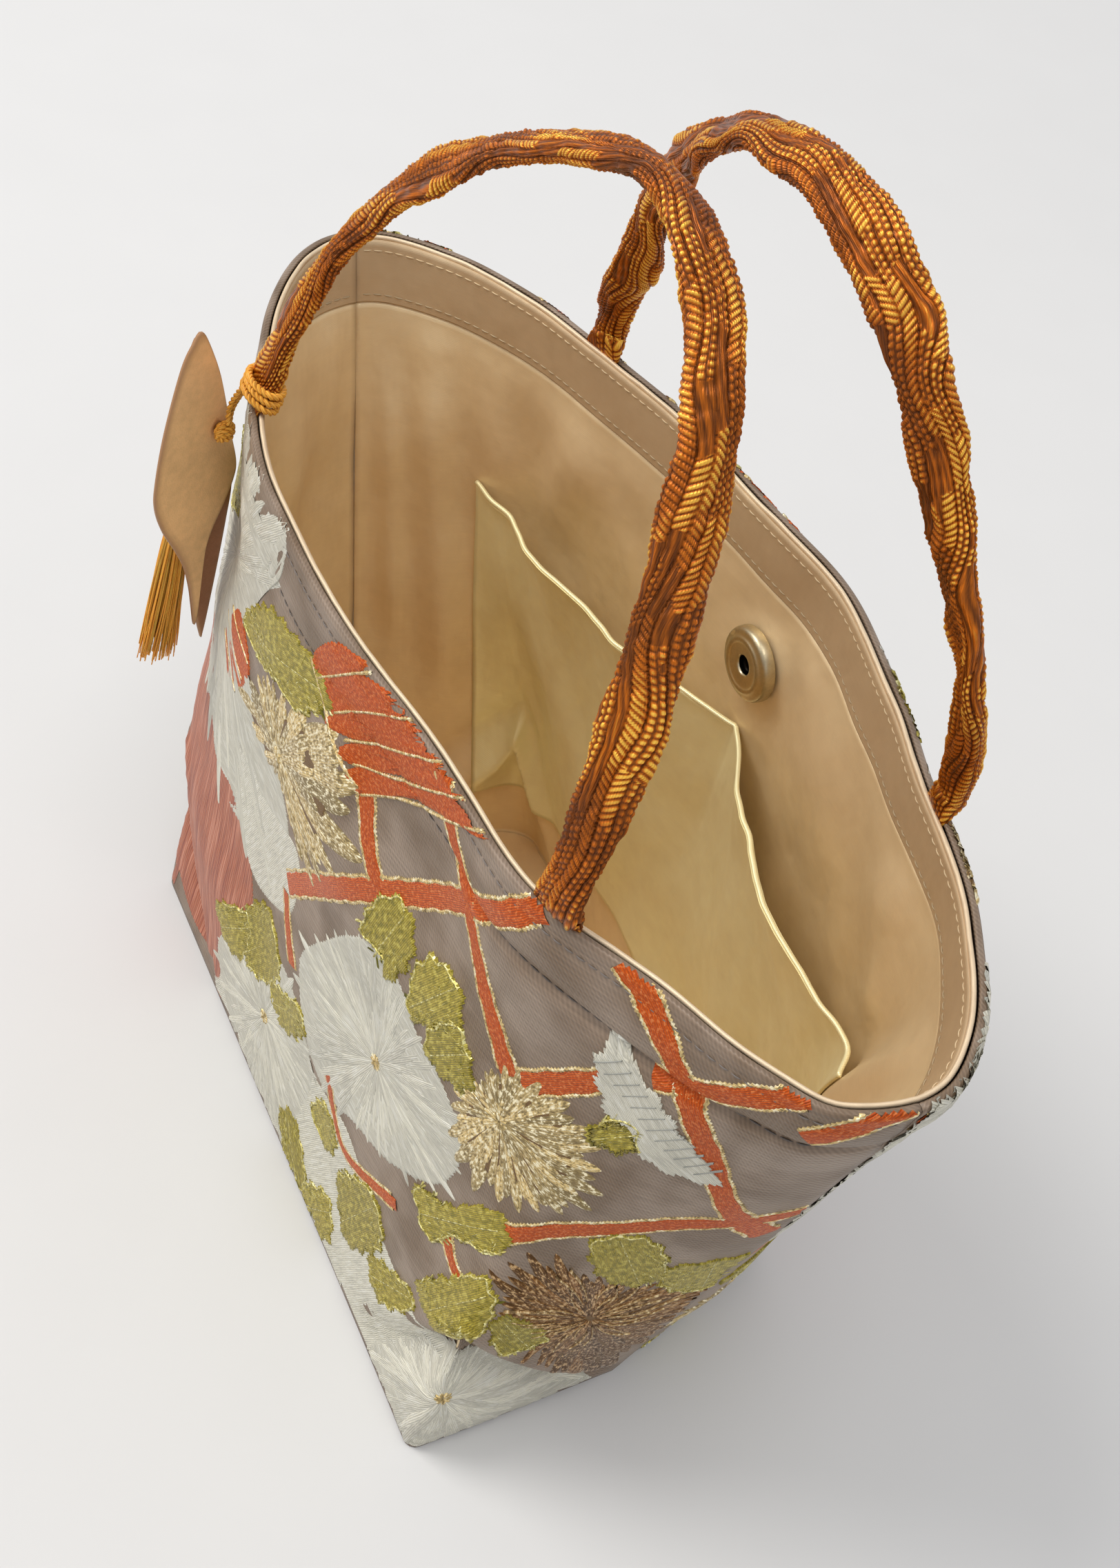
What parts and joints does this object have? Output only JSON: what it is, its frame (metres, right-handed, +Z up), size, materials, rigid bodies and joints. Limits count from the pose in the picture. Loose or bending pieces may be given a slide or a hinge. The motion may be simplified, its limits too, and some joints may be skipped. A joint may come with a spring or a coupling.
{
  "type": "silk tote bag",
  "caption": "Open-topped hand tote with a boxed base, brocade outer, satin lining with a slip pocket, braided cord handles, magnetic snap, leather tag and tassel.",
  "frame": {"origin": "middle of the base, on the surface that the bag stands on", "axes": "+X along the mouth to the right, +Y from the front wall to the back wall, +Z up"},
  "size_m": [0.26, 0.1223, 0.2844],
  "materials": {
    "brocade": "figured silk brocade with metallic thread",
    "interlining": "matte felted stiffener",
    "board": "plain greyboard",
    "satin_lining": "lustrous satin",
    "facing": "satin, topstitched",
    "rim_edge": "rolled satin edge",
    "silk_cord": "glossy braided silk",
    "silk_thread": "glossy twisted silk",
    "tassel_silk": "loose silk threads",
    "leather": "vegetable-tanned, cut edges",
    "antique_brass": "antique plated",
    "magnet": "sintered, dark"
  },
  "bodies": {
    "bag": {"outer_front_panel": "brocade", "outer_back_panel": "brocade", "front_interlining": "interlining", "back_interlining": "interlining", "base_board": "board", "front_lining": "satin_lining", "back_lining": "satin_lining", "front_facing": "facing", "back_facing": "facing", "rim_roll": "rim_edge", "slip_pocket": "satin_lining", "snap_socket": "antique_brass", "snap_magnet": "magnet", "snap_socket_washer": "antique_brass", "snap_stud": "antique_brass", "snap_stud_washer": "antique_brass", "front_foot_left": "silk_cord", "front_foot_right": "silk_cord", "back_foot_left": "silk_cord", "back_foot_right": "silk_cord", "tie_loop": "silk_thread", "tie_strand": "silk_thread"},
    "front_handle": {"front_handle": "silk_cord"},
    "back_handle": {"back_handle": "silk_cord"},
    "tag": {"tag_front_leaf": "leather", "tag_back_leaf": "leather", "tag_knot": "silk_thread", "tassel_thread": "silk_thread"},
    "tassel": {"tassel_head": "silk_thread", "tassel_skirt": "tassel_silk"}
  },
  "joints": [
    {"name": "front_handle_fold", "type": "hinge", "parent": "bag", "child": "front_handle", "pos_m": [0, -0.04465, 0.18799], "axis": [1, 0, 0], "range_deg": [-3, 160]},
    {"name": "back_handle_fold", "type": "hinge", "parent": "bag", "child": "back_handle", "pos_m": [0, 0.04474, 0.18766], "axis": [-1, 0, 0], "range_deg": [-9, 157]},
    {"name": "tag_swing", "type": "hinge", "parent": "bag", "child": "tag", "pos_m": [-0.084, -0.04961, 0.1668], "axis": [0, 0, -1], "range_deg": [0, 65]},
    {"name": "tassel_swing", "type": "hinge", "parent": "tag", "child": "tassel", "pos_m": [-0.08588, -0.056, 0.1448], "axis": [0.9063, 0.4226, 0], "range_deg": [-40, 4]}
  ]
}
